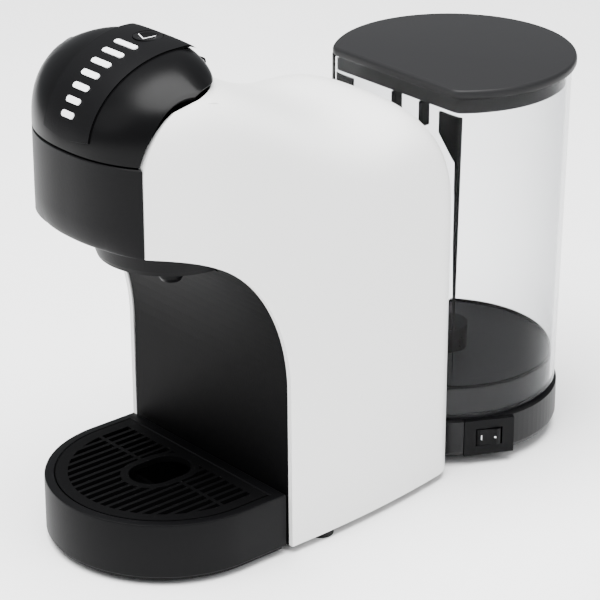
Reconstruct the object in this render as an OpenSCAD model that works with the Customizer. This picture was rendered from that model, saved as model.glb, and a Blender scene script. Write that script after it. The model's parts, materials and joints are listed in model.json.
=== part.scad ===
// Pod coffee machine: a white body with a round-nosed black head, a drip tray and a clear rear tank.
// Every module is drawn with y = 0 at the front edge of the column and z = 0 on the table;
// place() moves it into the part's frame, whose origin is under the middle of the machine.

/* [Body] */
// Width across the side panels
body_w = 125; // [122:1:128]
// Depth of the column behind its front edge
column_d = 118; // [116:1:120]
// Height of the gap under the body
foot_h = 4; // [3:0.5:5]
// Wall thickness of the white shell
shell_t = 2.6; // [2:0.1:3]

/* [Head] */
// Height of the flat underside of the head
head_z = 169; // [166:1:171]
// Height of the seam under the brewing lid
seam_z = 213; // [212:0.5:214]
// Height of the lid's dome above the seam
dome_h = 43.2; // [42.8:0.1:44]
// Distance from the column's front edge to the tip of the nose
nose_reach = 84; // [82:1:86]
// Height of the white top just behind the lid
crest_z = 253.5; // [252:0.5:254.5]
// Height of the white top at the rear
saddle_z = 206; // [204:1:208]

/* [Drip tray] */
// Radius of the tray's round front
tray_r = 60; // [58:0.5:61]
// Height of the tray's rim
tray_top = 32.7; // [31:0.1:34]
// Spacing of the slats in the grille
slat_pitch = 5.2; // [5:0.1:6]

/* [Water tank] */
// Radius of the tank's lid
tank_lid_r = 62.5; // [62.3:0.1:63]
// Radius of the tank at its top
tank_r = 61.5; // [61.2:0.1:61.7]
// Radius of the tank at its foot
tank_foot_r = 58.9; // [58.5:0.1:59.2]
// Height of the tank lid's top face
tank_top = 206.7; // [205:0.1:209]
// Thickness of the clear wall
tank_t = 2.2; // [2:0.1:2.4]

/* [Brewing] */
// Radius of the capsule adapter's cup
adapter_r = 21.2; // [20:0.1:21.5]
// Radius of the round bowl under the head, at its top
collar_r = 40; // [38:0.5:41]
// Radius of the start button
button_r = 7; // [6.5:0.1:7.2]

/* [Hidden] */
$fn = 64;

// Shared places
half_w = body_w / 2;
tray_cy = -29.5;                          // centre of the tray's round front
tank_cy = 160;                            // axis of the tank
cover_cy = 162;                           // centre of the tank lid, which overhangs to the rear
front_y = tray_cy - tray_r;               // foremost point of the machine
rear_y = cover_cy + tank_lid_r;            // rearmost point of the machine
column_y = -(front_y + rear_y) / 2;       // moves the column's front edge into the part's frame
fit = 0.4;                                // gap around a loose piece

// Plan of the nose: a rounded outline that meets the flat sides at nose_cy
nose_cy = -23;
nose_b = nose_reach + nose_cy;
nose_n = 2.3;
lid_side_y = -71.5;                       // where the white shell begins on each side of the nose

// Plan of the column: sides that close in towards a round rear corner
taper_y = 10;
taper_w = 8;
taper_l = 94;
corner_r = 16;
corner_cy = column_d - corner_r;
corner_a = 9.7;                           // angle at which the side runs into the corner
corner_y = corner_cy + corner_r * sin(corner_a);
corner_cx = half_w - taper_w * pow((corner_y - taper_y) / taper_l, 2) - corner_r * cos(corner_a);

// Side view: the arch over the cup, and the saddle of the white top
arch_cy = -70;
arch_a = 68;
arch_z = 86;
arch_b = head_z - arch_z;
column_edge_y = -1.2;
crest_y = -46;
saddle_y = 66;
saddle_slope = -0.86;                     // starting slope of the saddle, as a share of its own fall
shoulder_h = 40;
shoulder_n = 3;
rear_round = 40;
rear_round_y = column_d - rear_round;

// Side view of the lid: a quarter ellipse from the seam up to the button
dome_cy = -32;
dome_l = nose_reach + dome_cy;
cheek_r = 25.5;                           // depth of the curved edge between lid and shell
cheek_h = 36;
cheek_z = 206;
lid_end_y = -16.5;
lid_t = 2;
lid_lap = 2.4;                            // how far the lid's rear edge stands above the white top
strip_t = 0.8;
hinge_y = -13.2;
hinge_z = 242.6;
pin_r = 1.2;
pin_play = 0.05;
knuckle_l = 12;                           // length of the lid's knuckle on the pin

// Brewing group
brew_y = -48;
collar_y = -24;
collar_foot_r = collar_r - 4;
collar_rim = head_z - 21;
coupling_pos = [29, -36];                 // where the lid's water arm meets the deck
coupling_r = 4.5;
coupling_top = 234;
deck_z = 232;
rim_z = 237;

// Rear base and tank
base_r = 60.4;
base_cy = tank_cy - 0.6;
base_bottom = 5.8;
base_top = 25.7;
chord_y = column_d + 1.2;
tank_foot_z = 28.9;
tank_floor_z = 42.9;
valve_y = 160;
valve_head_t = 1.8;
valve_tip_z = 33;                         // lower end of the valve, just above the dock's pin
hose_way = [14, 110, 13.6];               // where the suction hose leaves the column
panel_a = -27;                            // the way the switch panel faces, from +X
panel_pos = [56.4, 138.7, 15.8];
rocker_tilt = 8;
gland_r = 5;
rocker_depth = 4;                         // pivot of the rocker behind the panel face

// Frame inside the column
floor_t = 2.5;                            // thickness of the base plate
frame_w = 100;
frame_t = 3;
frame_y = 8;                              // front face of the upright frame
frame_z = foot_h + floor_t + 0.1;
post_x = 40;                              // the screws and the posts they go into
post_ys = [30, 95];
screw_r = 1.9;
front_foot = [54.5, 24];
rear_foot = [34, 185];
tail_x = 34;                              // half width of the floor under the rear base

// Water path and electrics
pump_pos = [-22, 60, 48];                 // middle of the pump
pump_l = 68;
pump_r = 9;
meter_pos = [14, 88, 6.6];
heater_pos = [4, 34, 96];
heater_size = [44, 26, 74];
board_pos = [-50, 28, 92];
board_t = 1.6;
suction_r = 3;                            // hoses before the pump
pressure_r = 2.4;                         // hoses after it

module place() translate([0, column_y, 0]) children();

// ---------- outlines ----------

// Half width of the nose and body at y, set in by t
function nose_half(y, t = 0) = y > nose_cy
    ? half_w - t
    : (half_w - t) * pow(max(0, 1 - pow((nose_cy - y) / (nose_b - t), nose_n)), 1 / nose_n);

function body_half(y, t = 0) = nose_half(y, t) - taper_w * pow(max(0, y - taper_y) / taper_l, 2);

// Height of the dome's ridge, and how far the lid or shell rises above the seam at y
function dome_rise(y) = dome_h * sqrt(max(0, 1 - pow(min(0, y - dome_cy) / dome_l, 2)));
function fall(s) = 1 + (2 * s - 3) * s * s + saddle_slope * s * (1 - s) * (1 - s);
function saddle(y) =
    saddle_z + (crest_z - saddle_z) * fall(min(1, (y - crest_y) / (saddle_y - crest_y)));
function top_z(y, t = 0) = y < crest_y
    ? seam_z + (crest_z - seam_z) * dome_rise(y) / dome_rise(crest_y) - t
    : y < rear_round_y
        ? saddle(y) - t
        : saddle_z - rear_round + sqrt(max(0, pow(rear_round - t, 2) - pow(y - rear_round_y, 2)));
function shoulder_z(y) = y < crest_y ? seam_z : top_z(y) - shoulder_h;

// Lower edge of the white shell: head, arch, column
function low_z(y) = y <= arch_cy ? head_z
    : y < column_edge_y - 0.1 ? arch_z + arch_b * sqrt(max(0, 1 - pow((y - arch_cy) / arch_a, 2)))
    : foot_h;

// Height of the shoulder curve at x, for a section of half width w and rise h
function shoulder(x, w, h) = h * pow(max(0, 1 - pow(min(1, abs(x) / w), shoulder_n)), 1 / shoulder_n);
function white_z(x, y) = shoulder_z(y) + shoulder(x, body_half(y), top_z(y) - shoulder_z(y));
function dome_z(x, y) = seam_z + shoulder(x, nose_half(y), dome_rise(y));

// ---------- general solids ----------

// Triangles of a grid of points; wrap joins the last column to the first
function grid_faces(rows, cols, first, flip, wrap = false) = [
    for (i = [0 : rows - 2], j = [0 : cols - (wrap ? 1 : 2)], k = [0, 1])
        let (a = first + i * cols + j,
             b = first + i * cols + (j + 1) % cols,
             c = b + cols,
             d = a + cols,
             tri = k == 0 ? [a, b, c] : [a, c, d])
        flip ? [tri[2], tri[1], tri[0]] : tri
];

// Triangles between two rows of point numbers
function strip_faces(p, q, flip) = [
    for (i = [0 : len(p) - 2], k = [0, 1])
        let (tri = k == 0 ? [p[i], p[i + 1], q[i + 1]] : [p[i], q[i + 1], q[i]])
        flip ? [tri[2], tri[1], tri[0]] : tri
];

// A round tube or rod along a path of points
module swept(path, r, sides = 8) {
    n = len(path);
    function tangent(i) = path[min(n - 1, i + 1)] - path[max(0, i - 1)];
    function across(t) = let (c = abs(t.z) < 0.9 * norm(t) ? cross(t, [0, 0, 1]) : cross(t, [1, 0, 0]))
        c / norm(c);
    function ring(i) = let (t = tangent(i) / norm(tangent(i)), u = across(t), v = cross(t, u))
        [for (k = [0 : sides - 1])
            path[i] + r * (cos(360 * k / sides) * u + sin(360 * k / sides) * v)];
    points = [for (i = [0 : n - 1], p = ring(i)) p];
    faces = concat(
        grid_faces(n, sides, 0, true, true),
        [[for (k = [0 : sides - 1]) k]],
        [[for (k = [sides - 1 : -1 : 0]) (n - 1) * sides + k]]
    );
    polyhedron(points, faces);
}

// A smooth route through four control points
function bezier(p, steps = 12) = [
    for (i = [0 : steps])
        let (s = i / steps, r = 1 - s)
        r * r * r * p[0] + 3 * r * r * s * p[1] + 3 * r * s * s * p[2] + s * s * s * p[3]
];

// A ring or tube standing on z
module ring(r_out, r_in, h) {
    difference() {
        cylinder(r = r_out, h = h);
        translate([0, 0, -1]) cylinder(r = r_in, h = h + 2);
    }
}

// Plan of the nose back to y_end, set in by t
module nose_plan(t, y_end, steps = 40) {
    tip = nose_cy - nose_b + t;
    ys = [for (i = [0 : steps]) tip + (nose_cy - tip) * (1 - cos(90 * i / steps))];
    right = [for (y = ys) [nose_half(y, t), y]];
    left = [for (i = [steps : -1 : 0]) [-nose_half(ys[i], t), ys[i]]];
    polygon(concat(right, [[half_w - t, y_end], [t - half_w, y_end]], left));
}

// Plan of the tank, its base and its lid: a circle cut off by a chord, with round corners
module d_plan(r, cy, chord, corner = 6) {
    dy = cy - chord - corner;
    cx = sqrt(pow(r - corner, 2) - dy * dy);
    a = atan2(dy, cx);
    polygon(concat(
        [for (i = [0 : 72]) let (b = -a + (180 + 2 * a) * i / 72) [r * cos(b), cy + r * sin(b)]],
        [for (i = [1 : 6]) let (b = 180 + a + (90 - a) * i / 6)
            [corner * cos(b) - cx, chord + corner + corner * sin(b)]],
        [for (i = [0 : 5]) let (b = 270 + (90 - a) * i / 6)
            [corner * cos(b) + cx, chord + corner + corner * sin(b)]]
    ));
}

// Plan of the drip tray: a half circle with straight sides
module tray_plan(r, y_end) {
    polygon(concat(
        [for (i = [0 : 48]) let (b = 180 + 180 * i / 48) [r * cos(b), tray_cy + r * sin(b)]],
        [[r, y_end], [-r, y_end]]
    ));
}

// ---------- white shell ----------

side_steps = 7;
top_steps = 9;
corner_steps = 7;
shell_cols = 2 * (side_steps + top_steps) + 1;
shell_ys = concat(
    [lid_side_y],
    [for (a = [0 : 7.5 : 90]) arch_cy + arch_a * sin(a)],
    [column_edge_y],
    [for (i = [1 : 12]) column_edge_y + (corner_y - column_edge_y) * i / 12]
);
shell_rows = len(shell_ys) + corner_steps;

// Where the shell starts, in y, for a point at angle a up the shoulder: it follows the lid's side
// edge, then runs under the lid's rear edge, so that the head stays open below the lid
under_lid = 3;
shell_turn = asin(pow((cheek_z + cheek_h - seam_z) / (crest_z - seam_z), shoulder_n / 2));
function cheek_y(z) = crest_y - cheek_r * sqrt(max(0, 1 - pow((z - cheek_z) / cheek_h, 2)));
function shell_start(a, y = crest_y, steps = 14) =
    let (z = seam_z + (top_z(y) - seam_z) * pow(sin(a), 2 / shoulder_n))
    a >= shell_turn
        ? crest_y + (lid_end_y - under_lid - crest_y) * sin(90 * (a - shell_turn) / (90 - shell_turn))
        : steps == 0 ? y : shell_start(a, (y + cheek_y(z)) / 2, steps - 1);

function shell_point(i, j, t) =
    let (k = abs(j - (shell_cols - 1) / 2),
         side = j * 2 < shell_cols - 1 ? 1 : -1,
         on_top = k <= top_steps,
         a = on_top ? 90 * (1 - k / top_steps) : 0,
         q = on_top ? 1 : (side_steps + top_steps - k) / side_steps,
         last = len(shell_ys) - 1,
         b = corner_a + (90 - corner_a) * (i - last) / corner_steps,
         start = on_top ? shell_start(a) : lid_side_y,
         squeeze = (corner_y - start) / (corner_y - lid_side_y),
         y = i <= last
             ? corner_y + (shell_ys[i] - corner_y) * squeeze
             : corner_cy + (corner_r - t) * sin(b),
         w = i <= last ? body_half(y, t) : corner_cx + (corner_r - t) * cos(b),
         z_s = shoulder_z(min(y, column_d - t)),
         rise = top_z(y, t) - z_s)
    [side * w * pow(cos(a), 2 / shoulder_n) * (k == 0 ? 0 : 1),
     y,
     on_top ? z_s + rise * pow(sin(a), 2 / shoulder_n) : low_z(y) + (z_s - low_z(y)) * q];

// Flat rear wall, closed in strips from one side to the other
function rear_faces(first, end, flip) =
    let (mid = end / 2)
    concat(
        strip_faces([for (j = [0 : mid - 1]) first + j], [for (j = [0 : mid - 1]) first + end - j], flip),
        [flip
            ? [first + mid - 1, first + mid + 1, first + mid]
            : [first + mid - 1, first + mid, first + mid + 1]]
    );

module body_shell() {
    skin = shell_rows * shell_cols;
    last_row = (shell_rows - 1) * shell_cols;
    points = [
        for (t = [0, shell_t], i = [0 : shell_rows - 1], j = [0 : shell_cols - 1]) shell_point(i, j, t)
    ];
    row = [for (j = [0 : shell_cols - 1]) j];
    edge = [for (i = [0 : shell_rows - 1]) i * shell_cols];
    end = shell_cols - 1;
    faces = concat(
        grid_faces(shell_rows, shell_cols, 0, false),
        grid_faces(shell_rows, shell_cols, skin, true),
        strip_faces(row, row + [for (j = row) skin], true),
        strip_faces(edge, edge + [for (e = edge) skin], false),
        strip_faces(edge + [for (e = edge) end], edge + [for (e = edge) end + skin], true),
        rear_faces(last_row, end, false),
        rear_faces(last_row + skin, end, true),
        [[last_row, last_row + end, last_row + end + skin],
         [last_row, last_row + end + skin, last_row + skin]]
    );
    color("whitesmoke") place() difference() {
        polyhedron(points, faces);
        translate(hose_way) rotate([-90, 0, 0]) cylinder(r = 4.5, h = 12);
    }
}

// ---------- head ----------

// The black sheet that lines the column's front, curves forward and closes the head from below
module front_panel() {
    face = 0.5;                           // set back from the edges of the white shell
    sheet = 2.2;
    steps = 24;
    function curve(d) = [for (i = [0 : steps]) let (b = 90 * i / steps)
        [arch_cy + (arch_a + d) * cos(b), arch_z + (arch_b + d) * sin(b)]];
    outer = curve(face + sheet);
    color("#262626") place() difference() {
        intersection() {
            rotate([90, 0, 90]) translate([0, 0, -half_w]) linear_extrude(body_w) polygon(concat(
                [[arch_cy + arch_a + face, foot_h]],
                curve(face),
                [[-100, head_z + face], [-100, head_z + face + sheet]],
                [for (i = [steps : -1 : 0]) outer[i]],
                [[arch_cy + arch_a + face + sheet, foot_h]]
            ));
            linear_extrude(head_z + 20) nose_plan(shell_t + 0.7, 10);
        }
        translate([0, collar_y, collar_rim - fit])
            cylinder(r1 = collar_foot_r + fit, r2 = collar_r + 2, h = head_z + 8 - collar_rim);
        translate([0, collar_y, 130]) cylinder(r = 6.6, h = 30);
    }
}

module head_fascia() {
    wall = 2.4;
    edge_gap = 0.8;
    color("#2b2b2d") place() difference() {
        translate([0, 0, head_z]) linear_extrude(seam_z - head_z - edge_gap) difference() {
            nose_plan(0, nose_cy + 5);
            nose_plan(wall, nose_cy + 10);
        }
        translate([-body_w, lid_side_y - 0.3, 0]) cube([2 * body_w, body_w, 300]);
    }
}

// The flat deck that shows when the lid is open
module deck_plan(t) {
    a = 47 - t;
    b = 30 - t;
    polygon([for (i = [0 : 71])
        let (c = cos(5 * i), s = sin(5 * i))
        [a * sign(c) * pow(abs(c), 0.77), -45 + b * sign(s) * pow(abs(s), 0.77)]]);
}

module head_deck() {
    wall = 2;
    skirt_z = 224;
    color("#303030") place() difference() {
        translate([0, 0, skirt_z]) linear_extrude(deck_z - skirt_z) deck_plan(0);
        translate([0, 0, skirt_z - 1]) linear_extrude(deck_z - skirt_z + 1 - wall) deck_plan(wall);
        translate([0, brew_y, deck_z - 5]) cylinder(r = adapter_r + 3.5, h = 10);
        translate([coupling_pos.x, coupling_pos.y, deck_z - 5]) cylinder(r = coupling_r + 0.2, h = 10);
    }
}

// Fitting in the deck that the injector's arm closes on
module water_coupling() {
    bottom = 222;
    color("#b9b9b9") place() translate([coupling_pos.x, coupling_pos.y, bottom]) difference() {
        cylinder(r = coupling_r, h = coupling_top - bottom);
        translate([0, 0, 3]) cylinder(r = 1.6, h = coupling_top - bottom);
    }
}

module brew_chamber() {
    r_in = adapter_r + fit;
    wall = 2.7;
    bottom = 182;
    color("dimgray") place() translate([0, brew_y, 0]) difference() {
        union() {
            translate([0, 0, bottom]) cylinder(r = r_in + wall, h = rim_z - 3 - bottom);
            translate([0, 0, deck_z + 0.1]) cylinder(r = r_in + wall + 1, h = 2.4);
            translate([0, 0, bottom - 5]) cylinder(r = 7, h = 6);
        }
        translate([0, 0, bottom + 3]) cylinder(r = r_in, h = 80);
        translate([0, 0, bottom - 6]) cylinder(r = 4, h = 20);
    }
}

// The round bowl under the head that carries the spout
module outlet_collar() {
    top = head_z + 6;
    wall = 2.4;
    color("#1d1d1e") place() translate([0, collar_y, 0]) difference() {
        rotate_extrude($fn = 96) polygon([
            [0, collar_rim], [collar_foot_r - 3, collar_rim], [collar_foot_r - 0.8, collar_rim + 0.8],
            [collar_foot_r, collar_rim + 3], [collar_r, head_z], [collar_r, top], [collar_r - wall, top],
            [collar_r - wall, head_z], [collar_foot_r - wall, collar_rim + 4],
            [collar_foot_r - 4, collar_rim + 3], [0, collar_rim + 3]
        ]);
        translate([0, 0, collar_rim - 1]) cylinder(r = 4.3, h = 6);
    }
}

module spout() {
    color("#151515") place() translate([0, collar_y, 0]) difference() {
        union() {
            translate([0, 0, 132.5]) cylinder(r1 = 4.8, r2 = 6, h = 2);
            translate([0, 0, 134.5]) cylinder(r = 6, h = collar_rim - 134.6);
            translate([0, 0, 140]) cylinder(r = 4.2, h = collar_rim + 3.2 - 140);
        }
        translate([0, 0, 130]) cylinder(r = 2.2, h = 30);
    }
}

// ---------- frame inside the column ----------

module at_posts() for (x = [-post_x, post_x], y = post_ys) translate([x, y, 0]) children();

module chassis() {
    deck = 196;
    back_h = 137;
    deck_l = 82;
    post_r = 5;
    pillar_pos = [38, -40];
    color("slategray") place() difference() {
        union() {
            translate([-frame_w / 2, frame_y, frame_z]) cube([frame_w, frame_t, back_h]);
            translate([-frame_w / 2, -58, deck]) cube([frame_w, deck_l, frame_t]);
            for (x = [-frame_w / 2, frame_w / 2 - frame_t])
                translate([x, frame_y, back_h + frame_t]) cube([frame_t, frame_t, deck - back_h - 2]);
            for (x = [-pillar_pos.x, pillar_pos.x])
                translate([x, pillar_pos.y, deck]) cylinder(r = 4, h = deck_z - 2.1 - deck);
            at_posts() translate([0, 0, frame_z]) cylinder(r = post_r, h = 14);
            for (x = [-post_x, post_x])
                translate([x - post_r, frame_y + 1, frame_z]) cube([2 * post_r, 86, frame_t]);
        }
        translate([0, brew_y, deck - 6]) cylinder(r = adapter_r + 3.4, h = 20);
        at_posts() cylinder(r = screw_r + 0.1, h = 19);
    }
}

module base_plate() {
    front = 2.5;
    lap_y = 80;                           // where the floor steps down to run under the rear base
    base_y = 126;
    rear = 170;
    color("#2c2c2c") place() difference() {
        union() {
            translate([-frame_w / 2, front, foot_h]) cube([frame_w, frame_w - front, floor_t]);
            translate([-tail_x, lap_y, foot_h - 1.8]) cube([2 * tail_x, rear - lap_y, 1.6]);
            translate([-tail_x, lap_y, foot_h - 1]) cube([2 * tail_x, 20, 2]);
            translate([-tail_x, base_y, foot_h - 1])
                cube([2 * tail_x, rear - base_y, base_bottom - foot_h + 0.95]);
        }
        at_posts() cylinder(r = screw_r + 0.2, h = 10);
    }
}

module base_screws() {
    color("silver") place() at_posts() {
        translate([0, 0, foot_h - 1.8]) cylinder(r = 3.6, h = 1.7);
        translate([0, 0, foot_h - 0.2]) cylinder(r = screw_r, h = 15);
    }
}

module feet() {
    color("#3a3a3a") place() for (side = [-1, 1]) {
        translate([side * front_foot.x, front_foot.y, 0]) cylinder(r1 = 6.4, r2 = 7, h = foot_h);
        translate([side * rear_foot.x, rear_foot.y, 0]) cylinder(r1 = 8.4, r2 = 9, h = base_bottom);
    }
}

// ---------- rear base and switch ----------

// Places with +X out of the switch panel's face, and out of the cord's outlet at the rear
module switch_frame() translate(panel_pos) rotate([0, 0, panel_a]) children();
module cord_frame() translate([0, base_cy, 14]) rotate([0, 0, 90]) children();

module rear_base() {
    chamfer = 3;
    height = base_top - base_bottom;
    color("#1b1b1c") place() difference() {
        intersection() {
            translate([0, 0, base_bottom]) linear_extrude(height) d_plan(base_r, base_cy, chord_y);
            translate([0, base_cy, base_bottom]) rotate_extrude($fn = 96) polygon([
                [0, 0], [base_r - chamfer, 0], [base_r - 0.9, 0.9], [base_r, chamfer], [base_r, height],
                [0, height]
            ]);
        }
        translate([0, 0, base_bottom - 1]) linear_extrude(height - 1.5)
            d_plan(base_r - 4, base_cy, chord_y + 3);
        translate([0, valve_y, base_bottom]) cylinder(r = 5.1, h = 30);
        switch_frame() translate([-3.2, -14, -14]) cube([20, 28, 28]);
        switch_frame() translate([-9, -8, -5.6]) cube([9, 16, 11.2]);
        translate([hose_way.x, hose_way.y, hose_way.z]) rotate([-90, 0, 0]) cylinder(r = 4.5, h = 20);
        cord_frame() translate([base_r - 20.4, 0, 0]) rotate([0, 90, 0])
            cylinder(r = gland_r + 0.2, h = 40);
    }
}

// The flat plate let into the base's corner, with a window for the rocker
module switch_panel() {
    color("#242425") place() switch_frame() difference() {
        translate([-3, -13.4, -9.9]) cube([3, 26.8, 19.6]);
        translate([-10, -7.2, -4.9]) cube([20, 14.4, 9.8]);
    }
}

module rocker() {
    width = 13;
    height = 8.8;
    color("#101010") place() switch_frame() translate([-rocker_depth, 0, -height / 2])
        rotate([0, 0, -rocker_tilt]) difference() {
            intersection() {
                translate([-1, -width / 2, 0]) cube([8, width, height]);
                translate([-4.5, 0, 0]) cylinder(r = 10.6, h = height, $fn = 96);
            }
            translate([19.6, 0, -1]) cylinder(r = 15, h = height + 2, $fn = 96);
        }
}

module cord_gland() {
    flange_r = gland_r + 1.4;
    color("#161616") place() cord_frame() translate([base_r - 4.2, 0, 0]) rotate([0, 90, 0])
        difference() {
            union() {
                translate([0, 0, -2.4]) cylinder(r = gland_r, h = 8);
                translate([0, 0, 4.4]) cylinder(r = flange_r, h = 2);
                translate([0, 0, -4]) cylinder(r = flange_r, h = 1.6);
            }
            translate([0, 0, -5]) cylinder(r = 3.4, h = 20);
        }
}

module dock_valve() {
    roof = base_top - 2.5;
    flange_z = roof - 2.2;
    bore_r = 1.6;
    color("#303030") place() translate([0, valve_y, 0]) difference() {
        union() {
            translate([0, 0, flange_z]) cylinder(r = 5, h = valve_tip_z - 0.4 - flange_z);
            translate([0, 0, flange_z]) cylinder(r = 9, h = 2.1);
            translate([0, 0, 15]) cylinder(r = bore_r + 1, h = 7);
        }
        translate([0, 0, 11]) cylinder(r = bore_r, h = 30);
    }
}

module dock_seal() {
    color("black") place() translate([0, valve_y, 29.5])
        rotate_extrude() translate([5.95, 0]) circle(r = 0.9, $fn = 24);
}

// ---------- lid ----------

lid_cols = 56;
lid_rings = 13;
seam_gap = 0.3;
edge_lift = 1.2;                          // keeps the lid's side edge above the shell
edge_play = 1.4;                          // and in front of it

lid_side_a = asin(pow(nose_half(lid_side_y - edge_play) / half_w, nose_n / 2));
function seam_edge(s) = let (a = lid_side_a * s)
    [half_w * pow(sin(a), 2 / nose_n), nose_cy - nose_b * pow(cos(a), 2 / nose_n)];
function cheek_edge(s) =
    let (a = 90 * s,
         y = crest_y - edge_play - cheek_r * cos(a),
         up = max(0, cheek_z + (cheek_h + edge_lift) * sin(a) - seam_z) / dome_rise(y))
    [nose_half(y) * pow(1 - pow(min(1, up), shoulder_n), 1 / shoulder_n), y];
cheek_x = cheek_edge(1).x;
function rear_edge(s) = [
    cheek_x * cos(90 * s),
    crest_y - edge_play + (lid_end_y - crest_y + edge_play) * sin(90 * s)
];

// Half of the lid's outline in plan as s runs from the tip of the nose (0) to the hinge (3)
function lid_half_edge(s) = s <= 1 ? seam_edge(s) : s <= 2 ? cheek_edge(s - 1) : rear_edge(s - 2);
function lid_edge(k) =
    let (h = lid_cols / 2, m = k <= h ? k : lid_cols - k, p = lid_half_edge(3 * m / h))
    [k <= h ? p.x : -p.x, p.y];

// 0 along the seam, then up to 1 along the rear edge, where the lid's rim turns down
function rear_share(k) =
    let (h = lid_cols / 2, m = k <= h ? k : lid_cols - k)
    max(0, min(1, 3 * m / h * 1.4 - 2.2));

lid_cy = -46;
function lid_point(ring, k) =
    let (g = cos(90 * ring / lid_rings),
         edge = lid_edge(k),
         x = edge.x * g,
         y = lid_cy + (edge.y - lid_cy) * g,
         dome = dome_z(x, y),
         lap = white_z(edge.x, edge.y) + lid_lap,
         turn = rear_share(k) * (1 - sqrt(1 - pow(max(0, g - 0.55) / 0.45, 2))))
    [x, y, max(seam_z, dome - max(0, dome - lap) * turn) + (g == 1 ? seam_gap : 0)];
lid_heart = [0, lid_cy, 200];
function inward(p, t) = p + t * (lid_heart - p) / norm(lid_heart - p);

module lid_shell() {
    outer = [for (r = [0 : lid_rings - 1], k = [0 : lid_cols - 1]) lid_point(r, k)];
    apex = lid_point(lid_rings, 0);
    skin = lid_rings * lid_cols;
    points = concat(outer, [apex], [for (p = outer) inward(p, lid_t)], [inward(apex, lid_t)]);
    inner = skin + 1;
    last = skin - lid_cols;
    faces = concat(
        grid_faces(lid_rings, lid_cols, 0, true, true),
        grid_faces(lid_rings, lid_cols, inner, false, true),
        [for (k = [0 : lid_cols - 1]) [last + k, skin, last + (k + 1) % lid_cols]],
        [for (k = [0 : lid_cols - 1]) [inner + last + k, inner + last + (k + 1) % lid_cols, inner + skin]],
        [for (k = [0 : lid_cols - 1]) [k, (k + 1) % lid_cols, inner + (k + 1) % lid_cols]],
        [for (k = [0 : lid_cols - 1]) [k, inner + (k + 1) % lid_cols, inner + k]]
    );
    color("#0c0c0d") place() {
        difference() {
            polyhedron(points, faces);
            translate([0, button_y, 240]) cylinder(r = button_r + button_play, h = 30);
        }
        translate([-knuckle_l / 2, hinge_y, hinge_z]) rotate([0, 90, 0])
            ring(2.6, pin_r + pin_play, knuckle_l);
        translate([-knuckle_l / 2, lid_end_y - 1.6, hinge_z - 1.8]) cube([knuckle_l, 3.4, 2.4]);
    }
}

// The band of controls along the middle of the lid
button_y = -34.4;
button_play = 0.3;
function strip_half(y) = 16.5 + 4.5 * min(1, (y + nose_reach) / 50);

module control_strip() {
    rows = 22;
    cols = 9;
    rear = lid_end_y - 6.5;
    function station(i, c) =
        let (f = 1 - cos(90 * i / (rows - 1)),
             half = strip_half(-nose_reach + 0.5 + (rear + nose_reach) * f),
             x = half * c,
             tip = nose_cy - nose_b * pow(1 - pow(abs(x) / half_w, nose_n), 1 / nose_n),
             y = tip + 0.3 + (rear - tip) * f)
        [x, y, lid_skin_z(x, y)];
    skin = [for (i = [0 : rows - 1], j = [0 : cols - 1]) station(i, 2 * j / (cols - 1) - 1)];
    n = rows * cols;
    row = [for (j = [0 : cols - 1]) j];
    edge = [for (i = [0 : rows - 1]) i * cols];
    points = concat([for (p = skin) inward(p, -strip_t)], [for (p = skin) inward(p, -0.05)]);
    faces = concat(
        grid_faces(rows, cols, 0, true),
        grid_faces(rows, cols, n, false),
        strip_faces(row, row + [for (r = row) n], false),
        strip_faces(row + [for (r = row) n - cols], row + [for (r = row) 2 * n - cols], true),
        strip_faces(edge, edge + [for (e = edge) n], true),
        strip_faces(edge + [for (e = edge) cols - 1], edge + [for (e = edge) cols - 1 + n], false)
    );
    color("#141415") place() difference() {
        polyhedron(points, faces);
        translate([0, button_y, 240]) cylinder(r = button_r + button_play, h = 30);
    }
}

// Outer surface of the lid near the middle, with its rear edge turned down
function lid_skin_z(x, y) =
    let (g = max(0, y - lid_cy) / (lid_end_y - lid_cy),
         dome = dome_z(x, y),
         lap = white_z(x, lid_end_y) + lid_lap)
    dome - max(0, dome - lap) * (1 - sqrt(1 - pow(max(0, min(1, g) - 0.55) / 0.45, 2)));

// Seven light bars, longer towards the button
module led_bars() {
    bar_w = 3;
    color("white") place() for (k = [0 : 6]) {
        a = 22 + 8.55 * k;
        y = dome_cy - dome_l * cos(a);
        z = seam_z + dome_h * sin(a);
        slope = atan2(dome_h * cos(a), dome_l * sin(a));
        half = 4.35 + 0.61 * k - bar_w / 2;
        translate([0, y, z]) rotate([slope, 0, 0]) translate([0, 0, strip_t + 0.1]) {
            translate([-half, -bar_w / 2, 0]) cube([2 * half, bar_w, 0.5]);
            for (x = [-half, half]) translate([x, 0, 0]) cylinder(r = bar_w / 2, h = 0.5);
        }
    }
}

module start_button() {
    top = seam_z + dome_h + 0.6;
    color("#1a1a1a") place() translate([0, button_y, 0]) difference() {
        union() {
            translate([0, 0, top - 4.5]) cylinder(r = button_r, h = 4.5);
            translate([0, 0, top - 7]) cylinder(r = 2, h = 3);
        }
        translate([0, 0, top + 17.2]) sphere(r = 18, $fn = 96);
    }
}

module control_board() {
    color("darkgreen") place() translate([0, -62, 242.4]) rotate([32, 0, 0]) {
        translate([-17, -8, 0]) cube([34, 16, 1.4]);
        for (x = [-12, 0, 12]) translate([x - 2, -3, 1.45]) cube([4, 4, 1.2]);
    }
}

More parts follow.
